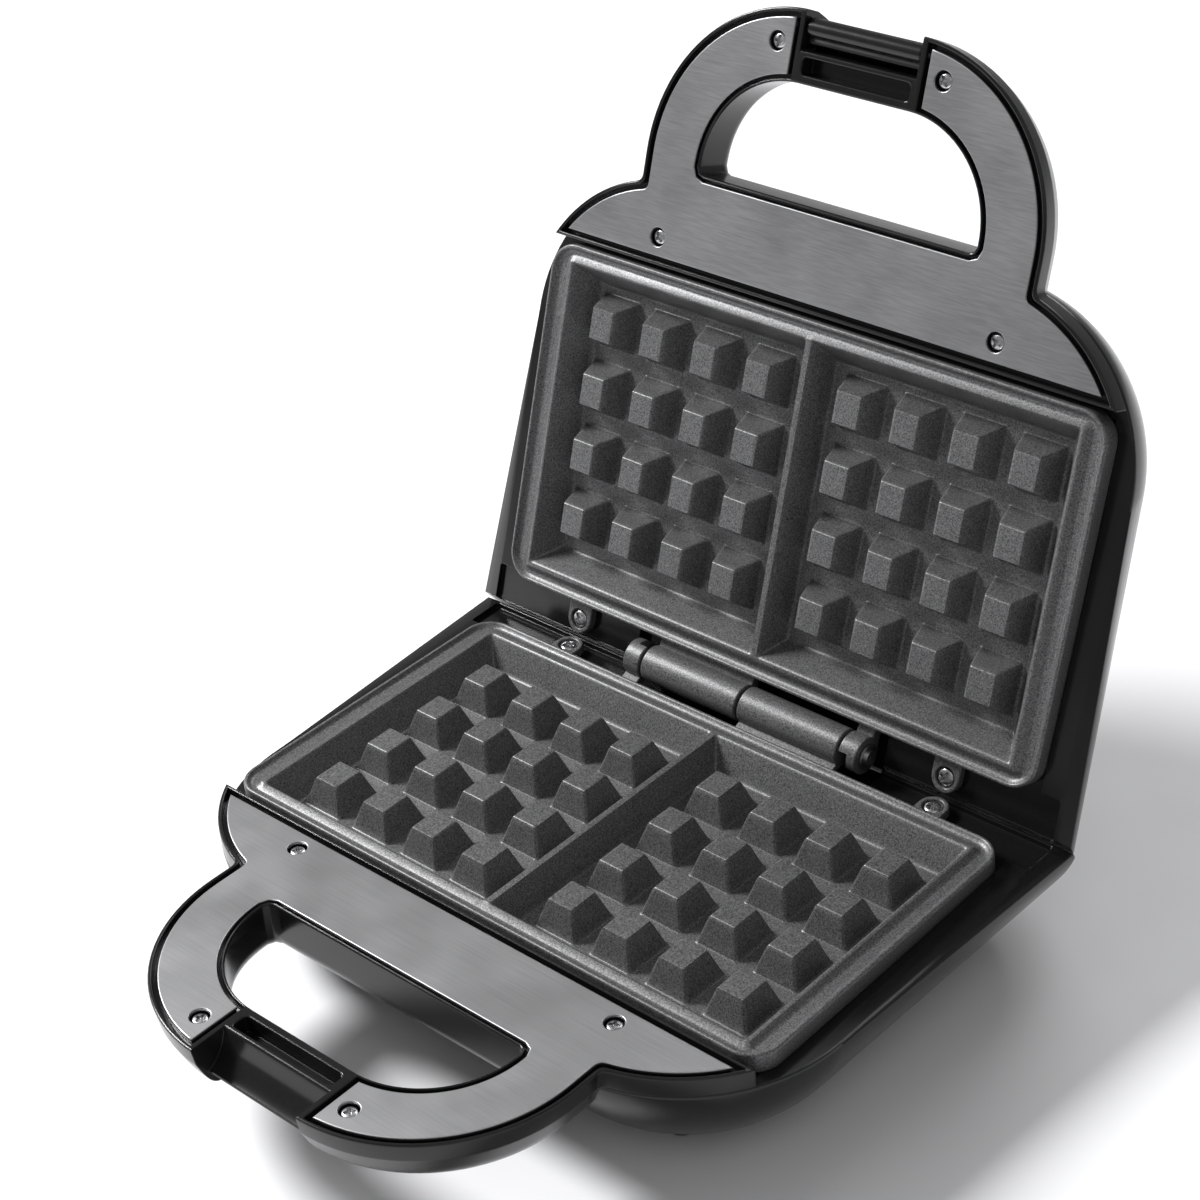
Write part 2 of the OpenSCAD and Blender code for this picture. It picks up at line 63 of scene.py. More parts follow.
# Plan of a half: the body, the loop handle's outline, its finger hole and the deck's rear edge
SHELL_BOX = [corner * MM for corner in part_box("base_shell")]
HALF_W = 120.5
FLARE = SHELL_BOX[1].x - HALF_W - 0.05
FRONT, REAR = 162.7, 14.0
SHOULDER_R = 57.7
SHOULDER = (HALF_W - SHOULDER_R, SHOULDER_R - FRONT)
REACH, LOOP_R, LOOP_X = 227.5, 56.5, 21.5
LOOP_Y = LOOP_R - REACH
FINGER_R, FINGER_BACK = 33.3, -167.7
DECK_EDGE = -134.4
# Heights of a half: its top face, the side ledge and its rise to the rear, the underside, the handle's
TOP = -0.25
RIM, RIM_RISE, DEPTH, HANDLE_DEPTH = 7.0, 2.0, 42.0, 18.0
WALL = 2.4
FAR = 300.0
NOTCH_HALF, NOTCH_BACK = 22.5, -214.7
TROUGH_HALF, TROUGH_FLOOR = 53.5, -10.6

# Trim plate in its recess, with a groove and the shell's own edge line round it
EDGE_LINE, GROOVE = 1.3, 1.7
TRIM_TOP, TRIM_FLOOR, TRIM_GAP_HALF = -0.4, -1.4, 26
TRIM_SCREWS = [(67.6, -143.7), (32.0, -215.8)]
TRIM_SEAT = -3.0
PLATE_SCREW = (78.8, -3.2)
FEET = {"front_feet": (77.0, -128.0), "rear_feet": (82.0, -5.0)}
LAMPS = {"power": -11, "ready": 11}
LAMP_Y, LENS_R = -112, 4

# Waffle plates
PLATE_BOX = [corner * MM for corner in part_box("lower_waffle_plate")]
PLATE_HALF = PLATE_BOX[1].x
PLATE_FRONT, PLATE_REAR, PLATE_R = -132.7, -10.0, 10.0
PAN, CAVITY, CHANNEL_Z = 13.5, 10.6, -1.9
FLOOR_X, FLOOR_REAR, FLOOR_FRONT = 96.4, -23.6, -120.4
RIB_HALF, WALL_SLOPE, RIB_SLOPE = 5.2, 1.72, 2.6
STUD_TOP_Z = -0.7
STUD_X = [18.65, 41.15, 63.65, 86.15]
STUD_Y = [-108.25, -84.75, -61.25, -37.75]
STUD_TOP, STUD_BASE, STUD_SLOPE = (4.9, 5.5), (8.2, 9.0), (3.1, 3.0)
FINE_STEP, COARSE_STEP, MARK_SPREAD = 0.55, 3.0, 1.1
BARREL_R, PIN_R = 6.5, 2.5

# Latch
PIVOT = (-221.8, -4.2)
PIVOT_BORE = 1.3
CLIP_HALF = 21.9

EDGE_STEPS = 4


def base_matrix():
    return Matrix.Translation((0, HINGE.y, HINGE.z - AXIS_H / MM)) @ Matrix.Scale(1 / MM, 4)


def lid_matrix():
    swing = Matrix.Translation(HINGE) @ Matrix.Rotation(-OPEN, 4, "X") @ Matrix.Scale(1 / MM, 4)
    return swing @ Matrix.Translation((0, 0, -AXIS_H)) @ Matrix.Diagonal((1, 1, -1, 1))


PLACE = {"base": base_matrix(), "lid": lid_matrix(), "latch": lid_matrix()}


# Outlines: closed, anticlockwise arrays of points
def arc(cx, cy, r, a0, a1, n):
    t = np.radians(np.linspace(a0, a1, n + 1))
    return np.column_stack([cx + r * np.cos(t), cy + r * np.sin(t)])


def circle(cx, cy, r, n=48):
    return arc(cx, cy, r, 0, 360 - 360 / n, n - 1)


def offset(points, inset):
    """Moves an outline inwards by inset."""
    ahead = np.roll(points, -1, 0) - points
    ahead /= np.linalg.norm(ahead, axis=1)[:, None]
    normal = np.column_stack([-ahead[:, 1], ahead[:, 0]])
    before = np.roll(normal, 1, 0)
    miter = (normal + before) / (1 + (normal * before).sum(1))[:, None]
    return points + miter * inset


def filleted(corners, radius, n=5):
    """Rounds each corner of a polygon with a curve that starts at most radius away from it."""
    corners = np.asarray(corners, float)
    out = []
    for i, p in enumerate(corners):
        back, ahead = corners[i - 1] - p, corners[(i + 1) % len(corners)] - p
        reach_back = min(radius, 0.45 * np.linalg.norm(back))
        reach_ahead = min(radius, 0.45 * np.linalg.norm(ahead))
        a = p + back / np.linalg.norm(back) * reach_back
        b = p + ahead / np.linalg.norm(ahead) * reach_ahead
        for t in np.linspace(0, 1, n + 1):
            out.append((1 - t) ** 2 * a + 2 * t * (1 - t) * p + t * t * b)
    return np.array(out)


def rect(x0, x1, y0, y1, r=0.0):
    corners = [(x0, y0), (x1, y0), (x1, y1), (x0, y1)]
    return filleted(corners, r) if r else np.array(corners, float)


def mirrored(points):
    """Closes an outline from its right-hand side, given from rear to front."""
    left = points[::-1] * [-1, 1]
    return np.vstack([points, left])[::-1]


def front_outline(deck=0.0, handle=None):
    """Deck and handle loop in one outline, each moved inwards by its own inset."""
    handle = deck if handle is None else handle
    side, r = LOOP_X + LOOP_R - handle, SHOULDER_R - deck
    start = math.degrees(math.asin((DECK_EDGE - deck - SHOULDER[1]) / r))
    stop = -math.degrees(math.acos((side - SHOULDER[0]) / r))
    shoulder = arc(*SHOULDER, r, start, stop + 2.2, 14)
    corner = np.array([side, SHOULDER[1] - math.sqrt(r**2 - (side - SHOULDER[0]) ** 2)])
    leave = corner + [0, -2.4]
    bend = [
        (1 - t) ** 2 * shoulder[-1] + 2 * t * (1 - t) * corner + t * t * leave
        for t in (0.25, 0.5, 0.75, 1)
    ]
    loop = arc(LOOP_X, LOOP_Y, LOOP_R - handle, 0, -90, 26)
    return mirrored(np.vstack([shoulder, bend, loop]))


def finger_outline():
    side = LOOP_X + FINGER_R
    right = np.vstack([
        [[side - 2.5, FINGER_BACK], [side - 0.75, FINGER_BACK - 0.75], [side, FINGER_BACK - 2.5]],
        arc(LOOP_X, LOOP_Y, FINGER_R, 0, -90, 22),
    ])
    return mirrored(right)


def ring_outline(outer, inner, gap_half):
    """Band between two outlines, parted at the latch notch."""
    def cut(points):
        in_gap = (np.abs(points[:, 0]) < gap_half) & (points[:, 1] < -190)
        first = int(np.flatnonzero(in_gap & ~np.roll(in_gap, 1))[0])
        rolled, mask = np.roll(points, -first, 0), np.roll(in_gap, -first)
        kept = rolled[~mask]
        ends = []
        for inside, outside in ((rolled[mask][-1], kept[0]), (rolled[mask][0], kept[-1])):
            t = (math.copysign(gap_half, outside[0]) - inside[0]) / (outside[0] - inside[0])
            ends.append(inside + t * (outside - inside))
        return np.vstack([ends[0], kept, ends[1]])
    return np.vstack([cut(outer), cut(inner)[::-1]])


def body_outline(inset, flare):
    """Body at one level; flare widens its rear corners."""
    rear_r = max(8.0 - inset, 3.0)
    rear_x = HALF_W + flare - inset - rear_r
    rear_y = REAR - 0.45 * inset - rear_r
    right = np.vstack([
        arc(rear_x, rear_y, rear_r, 90, 0, 8),
        arc(*SHOULDER, SHOULDER_R - inset, 0, -90, 26),
    ])
    return mirrored(right)


# Solids
def link(name, mesh):
    obj = bpy.data.objects.new(name, mesh)
    bpy.context.scene.collection.objects.link(obj)
    return obj


def from_bmesh(bm, name):
    mesh = bpy.data.meshes.new(name)
    bm.to_mesh(mesh)
    bm.free()
    return link(name, mesh)


def loft(rings, name="solid"):
    """Closed solid through rings of equal point counts, each an (n, 3) array."""
    bm = bmesh.new()
    loops = [[bm.verts.new(p) for p in ring] for ring in rings]
    n = len(loops[0])
    for low, high in zip(loops, loops[1:]):
        for i in range(n):
            j = (i + 1) % n
            bm.faces.new((low[i], low[j], high[j], high[i]))
    bm.faces.new(loops[0][::-1])
    bm.faces.new(loops[-1])
    bmesh.ops.recalc_face_normals(bm, faces=bm.faces)
    return from_bmesh(bm, name)


def at_z(points, z):
    return np.column_stack([points, np.broadcast_to(z, len(points))])


def at_y(points, y):
    return np.column_stack([points[:, 0], np.full(len(points), y), points[:, 1]])


def prism(outline, levels, name="solid"):
    """Loft of one outline upwards, through pairs of height and inset."""
    return loft([at_z(offset(outline, inset), z) for z, inset in levels], name)


def along_x(outline, levels):
    """Loft of a (y, z) outline along X, through pairs of x and inset."""
    return loft([np.column_stack([np.full(len(outline), x), offset(outline, inset)]) for x, inset in levels])


def block(x0, x1, y0, y1, z0, z1):
    return prism(rect(x0, x1, y0, y1), [(z0, 0), (z1, 0)])


def rounded_levels(z0, z1, r):
    """Height and inset pairs with quarter-round edges of radius r at both ends."""
    t = np.linspace(0, math.pi / 2, EDGE_STEPS + 1)
    low = [(z0 + r * (1 - math.cos(a)), r * (1 - math.sin(a))) for a in t]
    return low + [(z0 + z1 - z, inset) for z, inset in low[::-1]]


def flared_levels(floor, surface, r):
    """Levels of a cutter whose mouth rounds the edge it leaves at surface."""
    t = np.linspace(0, math.pi / 2, EDGE_STEPS + 1)
    mouth = [(surface - r + r * math.sin(a), -r * (1 - math.cos(a))) for a in t]
    return [(floor, 0)] + mouth + [(surface + 1, -r)]


def both(maker):
    """The same solid at both sides of the middle plane."""
    right = maker()
    left = link("solid", right.data.copy())
    left.data.transform(Matrix.Diagonal((-1, 1, 1, 1)))
    left.data.flip_normals()
    return [right, left]


def combine(target, others, operation):
    """Applies one boolean after another and clears the used solids away."""
    for other in others:
        mod = target.modifiers.new("cut", "BOOLEAN")
        mod.operation, mod.solver, mod.object = operation, "MANIFOLD", other
    graph = bpy.context.evaluated_depsgraph_get()
    mesh = bpy.data.meshes.new_from_object(target.evaluated_get(graph))
    target.modifiers.clear()
    target.data = mesh
    for other in others:
        bpy.data.objects.remove(other)
    return target


def add(target, *others):
    return combine(target, others, "UNION")


def cut(target, *others):
    return combine(target, others, "DIFFERENCE")


def slope_block(axis_z, lift):
    """Everything above the plane through the hinge that halves the opening angle."""
    solid = block(-FAR, FAR, -10, 120, 0, 120)
    turn = Matrix.Translation((0, 0, axis_z)) @ Matrix.Rotation(-OPEN / 2, 4, "X")
    solid.data.transform(turn @ Matrix.Translation((0, 0, -0.35 - lift)))
    return solid


# Shells
def ledge_z(y):
    """Height of the side ledge, which rises from the shoulders to the rear."""
    return -RIM + RIM_RISE * np.clip((y - SHOULDER[1]) / -SHOULDER[1], 0, 1)


def bowl(wall):
    """Rounded body: the ledge, a flared shoulder round it, then the side and the flat underside."""
    rings = []
    for phi in np.radians(np.arange(90, -1, -7.5)):
        fall = (DEPTH - RIM) * math.sin(phi) ** 1.25 * (1 - wall / DEPTH)
        inset = 27 * (1 - math.cos(phi) ** 1.25) + wall
        flare = FLARE * max(0.0, 1 - fall / 30)
        ring = body_outline(inset, flare)
        rise = (ledge_z(ring[:, 1]) + RIM) * max(0.0, 1 - fall / 30)
        rings.append(at_z(ring, -RIM - 1.3 - fall + 1.3 * fall / (DEPTH - RIM) + rise))
    if wall:
        return loft(rings)
    lip = [(0.9, 0.0, 0.98), (0.45, 0.1, 0.55), (0.18, 0.25, 0.2), (0, 0.8, 0.0), (0, 12, 0)]
    for drop, inset, flare in lip:
        ring = body_outline(inset, FLARE * flare)
        rings.append(at_z(ring, ledge_z(ring[:, 1]) - drop))
    return loft(rings)


def front_slab():
    """Deck and handle: a rounded top edge, tapered sides and, under the handle, a rounded underside."""
    levels = [
        (-HANDLE_DEPTH, 8.8, 12), (-HANDLE_DEPTH + 0.35, 7.3, 11), (-16.8, 6.1, 10), (-15.6, 5.0, 8),
        (-14, 4.0, 6.5), (-12, 3.0, 5), (-7.2, 1.0, 0.4), (-6.6, 0.8, 0), (-0.95, 0.0, 0.0),
        (-0.62, 0.06, 0.06), (-0.4, 0.22, 0.22), (-0.29, 0.45, 0.45), (TOP, 0.75, 0.75),
    ]
    return loft([at_z(front_outline(on_deck, on_handle), z) for z, on_handle, on_deck in levels])


def trim_outline(clear):
    """Trim plate, or its recess when clear is the groove's width."""
    outer = front_outline(EDGE_LINE + GROOVE - clear)
    inner = offset(finger_outline(), -(2.2 - 0.75 * clear))
    return ring_outline(outer, inner, TRIM_GAP_HALF - clear)


def hollow(axis_z):
    """Room inside the walls, kept clear of the ledge, the sloped rear edge, the trough and the deck."""
    return cut(
        bowl(WALL),
        block(-FAR, FAR, -FAR, FAR, -RIM - WALL, 10),
        slope_block(axis_z, WALL + 0.6),
        block(-TROUGH_HALF - WALL, TROUGH_HALF + WALL, -16, 60, -13, 10),
        block(-60, 60, -170, -159.5, -60, 10),
    )


def trim_recess():
    """Shallow seat for the trim plate with a deeper groove round it."""
    recess = prism(trim_outline(GROOVE), flared_levels(-3.2, TOP, 0.4))
    plateau = prism(trim_outline(-0.35), [(-4, 0), (TRIM_FLOOR, 0)])
    return cut(recess, plateau)


def at_trim_screws(radius, levels):
    """Cutters round each of the trim's screws."""
    return [hole for x, y in TRIM_SCREWS for hole in both(lambda: prism(circle(x, y, radius), levels))]


def plate_seat():
    """Cutters for the plate: its ledge, its pan, the sunk rear deck and the hinge's trough."""
    return [
        prism(
            rect(-PLATE_HALF - 0.3, PLATE_HALF + 0.3, DECK_EDGE - 0.01, PLATE_REAR, 0),
            [(-RIM, 0), (2, 0)],
        ),
        block(-PLATE_HALF + 2.4, PLATE_HALF - 2.4, PLATE_FRONT + 2.1, PLATE_REAR - 3.4, -16, 2),
        prism(rect(-HALF_W + 0.6, HALF_W - 0.6, PLATE_REAR - 0.5, 3.2, 1.2), flared_levels(-RIM, -4.9, 0.4)),
        block(-TROUGH_HALF, TROUGH_HALF, PLATE_REAR - 3.4, 20, TROUGH_FLOOR, 2),
    ]


def shell(name, axis_z):
    """Body, deck and handle in one wall, open for the plate, the fingers, the trim and its screws."""
    body = add(bowl(0), front_slab())
    body.name = name
    finger = [(-HANDLE_DEPTH - 1, -3.5), (-HANDLE_DEPTH + 0.3, -2.6), (-16.6, -1.1), (-15, -0.3), (-13, 0)]
    return cut(
        body,
        slope_block(axis_z, 0),
        hollow(axis_z),
        prism(finger_outline(), finger + flared_levels(-1.2, TOP, 0.8)[1:]),
        trim_recess(),
        *plate_seat(),
        prism(rect(-20.9, 20.9, -212.8, -207.2, 1.6), flared_levels(-6.2, TOP, 0.5)),
        *at_trim_screws(3.4, [(TRIM_SEAT - 0.1, 0), (2, 0)]),
    )


def base_notch():
    """Seat of the latch hook: it falls in a hollow curve from the rib to a thin lip."""
    profile = [
        (-229, 3), (-229, -21), (-212.6, -21), (-214.5, -12.9),
        (-222.2, -12.8), (-222.7, -12.2), (-222.5, -11.5), (-220.6, -10.6), (-218.6, -8.9),
        (-217.0, -6.9), (-215.9, -4.6), (-215.2, -2.4), (NOTCH_BACK, -1.0),
        (NOTCH_BACK + 0.5, -0.4), (NOTCH_BACK + 1.0, TOP), (NOTCH_BACK + 1.0, 3),
    ]
    return along_x(np.array(profile), [(-NOTCH_HALF, 0), (NOTCH_HALF, 0)])


def lid_notch():
    """Open notch for the clip, with the room behind the rib for its arm."""
    profile = [
        (-229, 3), (-229, -20), (-199, -20), (-199, -7.9), (NOTCH_BACK - 0.6, -7.9), (NOTCH_BACK, -7.3),
        (NOTCH_BACK, -1.0), (NOTCH_BACK + 0.3, -0.5), (NOTCH_BACK + 0.9, TOP), (NOTCH_BACK + 0.9, 3),
    ]
    return along_x(np.array(profile), [(-NOTCH_HALF, 0), (NOTCH_HALF, 0)])


# Waffle plates
def soft_min(a, b, k):
    h = np.clip(0.5 + 0.5 * (b - a) / k, 0, 1)
    return b + (a - b) * h - k * h * (1 - h)


def soft_max(a, b, k):
    return -soft_min(-a, -b, k)


def plate_height(x, y):
    """Top surface: two sunk cavities with sloped walls and studs, and a ridge and a channel round them."""
    ax = np.abs(x)
    floor = np.full_like(ax, -CAVITY)
    walls = np.maximum(-CAVITY + (ax - FLOOR_X) * WALL_SLOPE, -CAVITY + (RIB_HALF - ax) * RIB_SLOPE)
    walls = soft_max(walls, -CAVITY + (y - FLOOR_REAR) * WALL_SLOPE, 0.9)
    walls = soft_max(walls, -CAVITY + (FLOOR_FRONT - y) * WALL_SLOPE, 0.9)
    height = soft_max(floor, walls, 1.2)
    for cx in STUD_X:
        for cy in STUD_Y:
            side_x = STUD_TOP_Z - (np.abs(ax - cx) - STUD_TOP[0]) * STUD_SLOPE[0]
            side_y = STUD_TOP_Z - (np.abs(y - cy) - STUD_TOP[1]) * STUD_SLOPE[1]
            stud = soft_min(soft_min(side_x, side_y, 1.1), np.full_like(ax, STUD_TOP_Z), 1.0)
            height = soft_max(height, stud, 0.7)
    beyond = np.maximum(np.maximum(ax - 102.4, y + 17.4), -126.3 - y)
    ridge = soft_min(np.full_like(ax, -0.35), -0.35 - (beyond - 1.5) * 1.3, 0.5)
    return soft_min(height, soft_max(ridge, np.full_like(ax, CHANNEL_Z), 0.6), 0.7)


def grid_lines(low, high, marks):
    """Coordinates that are dense near marks and sparse elsewhere."""
    at, lines = low, [low]
    while at < high - 1e-6:
        near = np.min(np.abs(np.asarray(marks) - at))
        widened = min(COARSE_STEP, max(FINE_STEP, near - MARK_SPREAD + 0.05))
        at = min(at + (FINE_STEP if near < MARK_SPREAD else widened), high)
        lines.append(at)
    return np.array(lines)


def plate_marks(centres, base, top):
    """Where the studs' sides begin, pass their middle and end."""
    return [c + s * d for c in centres for s in (-1, 1) for d in (base, (base + top) / 2, top)]


def plate_body():
    """Cast plate as one closed mesh: height field, rim, flange and pan."""
    inner = 5.8
    x_marks = plate_marks(STUD_X, STUD_BASE[0], 5.2) + [FLOOR_X, 99.5, 102.4, 0, 1.5, 3, 5]
    xs = grid_lines(0, PLATE_HALF - inner, x_marks)
    xs = np.concatenate([-xs[:0:-1], xs])
    y_marks = plate_marks(STUD_Y, STUD_BASE[1], 5.8) + [FLOOR_REAR, -20.6, -17.6, FLOOR_FRONT, -123.4, -126.4]
    ys = grid_lines(PLATE_FRONT + inner, PLATE_REAR - inner, y_marks)
    gx, gy = np.meshgrid(xs, ys, indexing="ij")
    gz = plate_height(gx, gy)
    bm = bmesh.new()
    nx, ny = len(xs), len(ys)
    grid = [[bm.verts.new((gx[i, j], gy[i, j], gz[i, j])) for j in range(ny)] for i in range(nx)]
    for i in range(nx - 1):
        for j in range(ny - 1):
            bm.faces.new((grid[i][j], grid[i + 1][j], grid[i + 1][j + 1], grid[i][j + 1]))
    edge = [grid[i][0] for i in range(nx)] + [grid[-1][j] for j in range(1, ny)]
    edge += [grid[i][-1] for i in range(nx - 2, -1, -1)] + [grid[0][j] for j in range(ny - 2, 0, -1)]
    core = np.array([PLATE_HALF - PLATE_R, (PLATE_REAR - PLATE_FRONT) / 2 - PLATE_R])
    middle = np.array([0, (PLATE_REAR + PLATE_FRONT) / 2])
    square = np.array([v.co[:2] for v in edge]) - middle
    pivot = np.clip(square, -core, core)
    out = square - pivot
    out /= np.linalg.norm(out, axis=1)[:, None]
    profile = [
        (4.1, CHANNEL_Z), (3.2, CHANNEL_Z), (2.6, -1.75), (2.0, -1.35), (1.5, -0.75), (1.25, -0.4),
        (1.0, -0.28),
        (0.7, -0.27), (0.4, -0.35), (0.15, -0.6), (0.03, -1.0), (0.0, -1.6), (0.0, -6.7), (0.3, -RIM + 0.02),
        (3.6, -RIM + 0.02), (3.6, -9.0), (4.2, -PAN + 1), (5.2, -PAN + 0.2), (7.0, -PAN),
    ]
    last = edge
    for inset, z in profile:
        points = middle + pivot + out * (PLATE_R - inset)
        ring = [bm.verts.new((p[0], p[1], z)) for p in points]
        for i in range(len(ring)):
            j = (i + 1) % len(ring)
            bm.faces.new((last[i], ring[i], ring[j], last[j]))
        last = ring
    bm.faces.new(last[::-1])
    bmesh.ops.recalc_face_normals(bm, faces=bm.faces)
    return from_bmesh(bm, "plate")


def barrel(x0, x1, axis_z):
    """Hinge barrel with rounded ends and the web that carries it."""
    tube = along_x(circle(0, axis_z, BARREL_R, 56), rounded_levels(x0, x1, 0.6))
    web = along_x(
        filleted([(-13, -5.5), (-13, -7.2 + axis_z), (-2, -5.9 + axis_z), (-2, min(axis_z, 0) - 0.9)], 0.6),
        rounded_levels(x0 + 0.05, x1 - 0.05, 0.5),
    )
    return [tube, web]


def lug():
    """Round lug for a plate screw, joined to the plate's rear edge."""
    x, y = PLATE_SCREW
    round_part = prism(circle(x, y, 5.2), rounded_levels(-RIM + 0.02, -3.6, 0.6))
    neck = prism(rect(x - 5.2, x + 5.2, -13, y), rounded_levels(-RIM + 0.04, -3.65, 0.5))
    return add(round_part, neck)


def plate(name, long_side, axis_z):
    """Cast plate with its long barrel, slotted end knuckle, pin bore and screw lugs."""
    whole = plate_body()
    whole.name = name
    spans = [(0.6, 42.0), (-50.0, -43.0)]
    spans = [tuple(sorted((a * long_side, b * long_side))) for a, b in spans]
    whole = add(whole, *[part for span in spans for part in barrel(*span, axis_z)], *both(lug))
    slot = sorted((-46.6 * long_side, -42.9 * long_side))
    x, y = PLATE_SCREW
    return cut(
        whole,
        along_x(circle(0, axis_z, PIN_R + 0.05, 40), [(-52, 0), (52, 0)]),
        block(slot[0], slot[1], -0.8, 9, axis_z + 0.6, axis_z + 9),
        *both(lambda: prism(circle(x, y, 3.6), flared_levels(-5.2, -3.6, 0.4))),
        *both(lambda: prism(circle(x, y, 1.95, 32), [(-9, 0), (-4, 0)])),
    )


# Small parts
def cross_screw(x, y, seat, r, height, turn):
    """Domed screw head with a tapered cross recess, over its plain shaft."""
    rings = []
    for z, k in ((0, 0.94), (0.08, 1), (0.45, 1), (0.7, 0.96), (0.88, 0.85), (0.97, 0.66), (1, 0.4)):
        rings.append(at_z(circle(0, 0, r * k, 40), z * height))
    head = loft(rings)
    arm, half = 0.72 * r, 0.19 * r
    cross = filleted([
        (-arm, -half), (-half, -half), (-half, -arm), (half, -arm), (half, -half), (arm, -half),
        (arm, half), (half, half), (half, arm), (-half, arm), (-half, half), (-arm, half),
    ], 0.12 * r, 2)
    levels = [(0.2, 0.1), (0.9, 0), (1.05, -0.12), (1.5, -0.12)]
    head = cut(head, prism(cross, [(height * z, half * inset) for z, inset in levels]))
    head = add(head, prism(circle(0, 0, 0.5 * r, 24), [(-6, 0.3), (-5.5, 0), (height * 0.3, 0)]))
    head.data.transform(Matrix.Translation((x, y, seat)) @ Matrix.Rotation(turn, 4, "Z"))
    return head


def joined(parts, name):
    """One object from several, without merging their surfaces."""
    bm = bmesh.new()
    for part in parts:
        bm.from_mesh(part.data)
        bpy.data.objects.remove(part)
    return from_bmesh(bm, name)


def screw_set(name, spots, seat, r, height):
    """Screws at both sides, each turned a little differently."""
    parts = []
    for i, (x, y) in enumerate(spots):
        parts.append(cross_screw(x, y, seat, r, height, math.radians(24 + 31 * i)))
        parts.append(cross_screw(-x, y, seat, r, height, math.radians(51 + 47 * i)))
    return joined(parts, name)


def foot(name, spot):
    """Pair of rubber feet with a soft edge and a sunk screw hole."""
    height = HINGE.z * MM - AXIS_H

    def right_foot():
        return cut(
            prism(circle(*spot, 6.5), rounded_levels(-height, -DEPTH, 0.7)),
            prism(circle(*spot, 3.4), [(-height - 1, -0.6), (-height + 0.5, 0), (-height + 1.8, 0)]),
            prism(circle(*spot, 1.6), [(-height - 1, 0), (-DEPTH + 1, 0)]),
        )

    return joined(both(right_foot), name)


def clip(name):
    """Latch clip: barrel, arm and hook, drawn latched and folded back to rest about its pivot."""
    levels = rounded_levels(-CLIP_HALF, CLIP_HALF, 0.7)
    bar = along_x(circle(0, 0, 3.2, 48), levels)
    arm = along_x(filleted([
        (-5, 0), (-5, 19.2), (1.5, 19.2), (1.5, 17.4), (-3.2, 17.4), (-3.2, 2.4), (0, 2.4), (0, 0),
    ], 0.8)[::-1], rounded_levels(-CLIP_HALF + 0.05, CLIP_HALF - 0.05, 0.6))
    whole = add(bar, arm)
    whole = cut(whole, along_x(circle(0, 0, PIVOT_BORE, 32), [(-30, 0), (30, 0)]))
    whole.name = name
    whole.data.transform(Matrix.Translation((0, *PIVOT)) @ Matrix.Rotation(FOLD, 4, "X"))
    return whole


def lens(name, x):
    """Domed lamp lens in the lid's outer face."""
    profile = [(LENS_R, -1.6), (LENS_R, 0.5), (3.7, 0.85), (2.9, 1.1), (1.6, 1.2)]
    return loft([at_z(circle(x, LAMP_Y, r, 40), -DEPTH - z) for r, z in profile], name)


def grommet(name):
    """Ribbed sleeve that lines the cord opening."""
    low, high = (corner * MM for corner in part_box("cord_grommet"))
    cx, cz = (low.x + high.x) / 2, (low.z + high.z) / 2 - (HINGE.z * MM - AXIS_H)
    y0, y1 = low.y - HINGE.y * MM, high.y - HINGE.y * MM
    outer = [
        (y0, 7.0), (y0 + 0.4, 7.45), (y0 + 2.0, 7.45), (y0 + 2.4, 7.0),
        (y0 + 2.5, 5.9), (y1 - 0.6, 5.9), (y1, 5.4),
    ]
    bore = [(y0 - 1, 3.6), (y1 - 0.5, 3.6), (y1 + 1, 4.6)]
    sleeve = loft([at_y(circle(cx, cz, r, 40), y) for y, r in outer], name)
    return cut(sleeve, loft([at_y(circle(cx, cz, r, 40), y) for y, r in bore]))


# Materials
def nodes_of(name):
    material = bpy.data.materials.new(name)
    material.use_nodes = True
    tree = material.node_tree
    return material, tree, tree.nodes["Principled BSDF"]


def noise(tree, scale, detail=3.0, stretch=(1, 1, 1), turn=(0, 0, 0)):
    """Noise in the piece's own coordinates, which are metres."""
    where = tree.nodes.new("ShaderNodeTexCoord")
    mapping = tree.nodes.new("ShaderNodeMapping")
    mapping.inputs["Scale"].default_value = stretch
    mapping.inputs["Rotation"].default_value = turn
    texture = tree.nodes.new("ShaderNodeTexNoise")
    texture.inputs["Scale"].default_value = scale
    texture.inputs["Detail"].default_value = detail
    tree.links.new(where.outputs["Object"], mapping.inputs["Vector"])
    tree.links.new(mapping.outputs["Vector"], texture.inputs["Vector"])
    return texture.outputs["Fac"]


def remap(tree, value, low, high, to_low, to_high):
    node = tree.nodes.new("ShaderNodeMapRange")
    for key, number in (("From Min", low), ("From Max", high), ("To Min", to_low), ("To Max", to_high)):
        node.inputs[key].default_value = number
    tree.links.new(value, node.inputs["Value"])
    return node.outputs["Result"]


def shade(tree, value, dark, light):
    """Colour between dark and light, by value."""
    ramp = tree.nodes.new("ShaderNodeValToRGB")
    ramp.color_ramp.elements[0].position = 0.3
    ramp.color_ramp.elements[0].color = (*dark, 1)
    ramp.color_ramp.elements[1].position = 0.7
    ramp.color_ramp.elements[1].color = (*light, 1)
    tree.links.new(value, ramp.inputs["Fac"])
    return ramp.outputs["Color"]


def bump(tree, bsdf, value, strength, distance, edge=0.0):
    node = tree.nodes.new("ShaderNodeBump")
    node.inputs["Strength"].default_value = strength
    node.inputs["Distance"].default_value = distance
    tree.links.new(value, node.inputs["Height"])
    if edge:
        soft = tree.nodes.new("ShaderNodeBevel")
        soft.samples = 4
        soft.inputs["Radius"].default_value = edge
        tree.links.new(soft.outputs["Normal"], node.inputs["Normal"])
    tree.links.new(node.outputs["Normal"], bsdf.inputs["Normal"])


